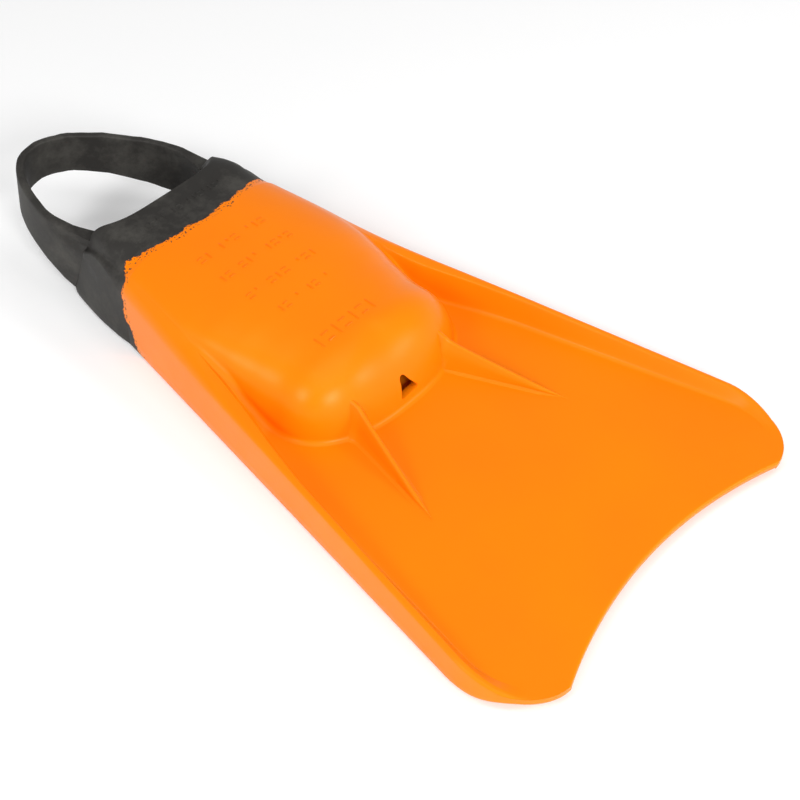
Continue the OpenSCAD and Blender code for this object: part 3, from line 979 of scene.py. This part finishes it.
def rubber(name, painted_shade=1.0):
    """Orange and black rubber in one material, which meet in a ragged line round the pocket. A share below 1
    darkens and reddens the orange as painted shade.
    """
    nodes = Nodes(name)
    coords = nodes.add("TexCoord")
    position = coords.outputs["Object"]
    split = nodes.add("SeparateXYZ")
    nodes.link(position, split.inputs[0])
    _, y, z = split.outputs
    mask = seam_mask(nodes, position, y, z)
    black_share = nodes.math("SUBTRACT", 1.0, mask)
    cloudy = nodes.noise(position, 14, 4)
    fine = nodes.noise(position, 900, 3)
    # The share scales the green of both oranges, which gives a darker, redder copy of the rubber: painted
    # shade.
    light, deep = (tuple(v * f for v, f in zip(c, (1, painted_shade, 1))) for c in (ORANGE, ORANGE_DEEP))
    orange = nodes.blend(nodes.spread(cloudy, 0.35, 0.7), light, deep)
    scuffs = nodes.noise(position, 45, 8, 0.75)
    black = nodes.blend(nodes.spread(scuffs, 0.45, 0.78), CHARCOAL, CHARCOAL_WORN)
    colour = nodes.blend(mask, black, orange)
    nodes.link(colour, nodes.shader.inputs["Base Color"])
    rough_orange = nodes.spread(cloudy, 0.3, 0.7, 0.30, 0.38)
    rough_black = nodes.spread(scuffs, 0.3, 0.7, 0.48, 0.70)
    rough_orange = nodes.math("MULTIPLY", rough_orange, mask)
    rough_black = nodes.math("MULTIPLY", rough_black, black_share)
    nodes.link(nodes.math("ADD", rough_orange, rough_black), nodes.shader.inputs["Roughness"])
    nodes.shader.inputs["IOR"].default_value = 1.36
    nodes.link(nodes.blend(mask, (1.0, 1.0, 1.0), (1.0, 0.72, 0.42)), nodes.shader.inputs["Specular Tint"])
    height = nodes.math("MULTIPLY", fine, 0.00003)
    height = nodes.math("ADD", height, nodes.math("MULTIPLY", black_share, 0.0003))
    height = nodes.math("ADD", height, nodes.math("MULTIPLY", scuffs, 0.0002))
    bump = nodes.add("Bump", Strength=0.6, Distance=1.0)
    nodes.link(height, bump.inputs["Height"])
    nodes.link(bump.outputs[0], nodes.shader.inputs["Normal"])
    return nodes.material


def paint(obj, material):
    obj.data.materials.clear()
    obj.data.materials.append(material)


# ---- Assembly -----------------------------------------------------------------------------------

two_colour = rubber("moulded_rubber")

plate = blade_and_sides()
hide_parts("blade_web", "blade_rail_left", "blade_rail_right", "root_web", "side_rail_left",
    "side_rail_right", "side_wall_left", "side_wall_right")
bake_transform(plate)
paint(plate, two_colour)

upper = dome()
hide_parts("toe_cap", "pocket_upper")
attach(upper, "foot_pocket")
paint(upper, two_colour)

pad = sole_pad()
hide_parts("pocket_sole")
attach(pad, "foot_pocket")
paint(pad, two_colour)

for side, name in ((-1, "rib_left"), (1, "rib_right")):
    piece = rib(side, name)
    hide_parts(name)
    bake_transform(piece)
    paint(piece, two_colour)

heel, root_lines = heel_end()
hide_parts("instep_band", "side_panel_left", "side_panel_right", "heel_sole")
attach(heel, "foot_pocket")
paint(heel, two_colour)

strap = heel_strap(root_lines)
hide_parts("heel_strap")
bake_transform(strap)
paint(strap, two_colour)

dome_rows = [
    (-76, 24, -20, 5, "=I Ii= iI="),
    (-58, 26, -22, 5, "I= =Ii I=i="),
    (-39, 25, -21, 5, "=i =I= i=I"),
    (-21, 21, -13, 5, "I= i I= i"),
    (9, 25, -13, 8, "I=I=I=I"),
]
band_rows = [(-115, 26, -27, 4, "I=iI I= iI=iI=i")]
dome_marks = marks("pocket_marks", dome_height, dome_rows)
band_marks = marks("heel_marks", band_height, band_rows)
for piece in (dome_marks, band_marks):
    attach(piece, "foot_pocket")
# The dome's raised marks get the darker, redder copy of the rubber: painted shade on the bars, not a colour
# of their own.
paint(dome_marks, rubber("mark_rubber_painted_shade", 0.82))
paint(band_marks, two_colour)


# ---- Floor, light and camera -----------------------------------------------------------------------
# Places and sizes from here on are in metres.

FLOOR_REACH, FLOOR_Z = 20.0, -0.001
CAMERA_PLACE, CAMERA_TARGET = (0.40601, 0.39705, 0.55479), (0.01147, 0.05045, 0.020)
CAMERA_ROLL, CAMERA_LENS = -0.42, 66.96
FADE_START, FADE_END = 0.10, 0.50
HORIZON_STRENGTH, OVERHEAD_STRENGTH = 1.0, 0.28


def area_light(name, place, size, power):
    """A white rectangle of light that faces the frame's origin."""
    data = bpy.data.lights.new(name, "AREA")
    data.shape = "RECTANGLE"
    data.size, data.size_y = size
    data.energy = power
    obj = bpy.data.objects.new(name, data)
    obj.location = place
    obj.rotation_euler = (-Vector(place)).to_track_quat("-Z", "Y").to_euler()
    bpy.context.scene.collection.objects.link(obj)


def floor():
    mesh = bpy.data.meshes.new("floor")
    corners = [(x * FLOOR_REACH, y * FLOOR_REACH, FLOOR_Z) for x, y in ((-1, -1), (1, -1), (1, 1), (-1, 1))]
    mesh.from_pydata(corners, [], [(0, 1, 2, 3)])
    obj = bpy.data.objects.new("floor", mesh)
    bpy.context.scene.collection.objects.link(obj)
    nodes = Nodes("pale_floor")
    nodes.shader.inputs["Base Color"].default_value = (0.93, 0.93, 0.93, 1)
    nodes.shader.inputs["Roughness"].default_value = 0.9
    nodes.shader.inputs["Emission Color"].default_value = (1, 1, 1, 1)
    nodes.shader.inputs["Emission Strength"].default_value = 0.10
    obj.data.materials.append(nodes.material)


def camera():
    data = bpy.data.cameras.new("camera")
    data.sensor_width = 36
    data.lens = CAMERA_LENS
    data.clip_start, data.clip_end = 0.05, 100
    obj = bpy.data.objects.new("camera", data)
    place, target = Vector(CAMERA_PLACE), Vector(CAMERA_TARGET)
    roll = Quaternion((0, 0, 1), math.radians(CAMERA_ROLL))
    obj.rotation_mode = "QUATERNION"
    obj.location = place
    obj.rotation_quaternion = (target - place).to_track_quat("-Z", "Y") @ roll
    bpy.context.scene.collection.objects.link(obj)
    bpy.context.scene.camera = obj


def world():
    """White round the horizon and dimmer overhead, as in a light tent."""
    made = bpy.data.worlds.new("studio")
    bpy.context.scene.world = made
    made.use_nodes = True
    tree = made.node_tree
    direction = tree.nodes.new("ShaderNodeTexCoord")
    split = tree.nodes.new("ShaderNodeSeparateXYZ")
    fade = tree.nodes.new("ShaderNodeMapRange")
    for slot, number in zip(range(1, 5), (FADE_START, FADE_END, HORIZON_STRENGTH, OVERHEAD_STRENGTH)):
        fade.inputs[slot].default_value = number
    tree.nodes["Background"].inputs["Color"].default_value = (1, 1, 1, 1)
    tree.links.new(direction.outputs["Generated"], split.inputs[0])
    tree.links.new(split.outputs["Z"], fade.inputs[0])
    tree.links.new(fade.outputs[0], tree.nodes["Background"].inputs["Strength"])


floor()
world()
area_light("key", (0.60, 1.20, 0.85), (0.35, 0.35), 11)
area_light("top_softbox", (0.1, 0.3, 2.2), (2.0, 2.0), 15)
area_light("side_softbox", (1.45, -0.16, 1.12), (0.50, 0.50), 9)
area_light("front_softbox", (-0.60, 1.30, 0.85), (0.4, 0.3), 7)
camera()
bpy.context.scene.view_settings.view_transform = "Standard"
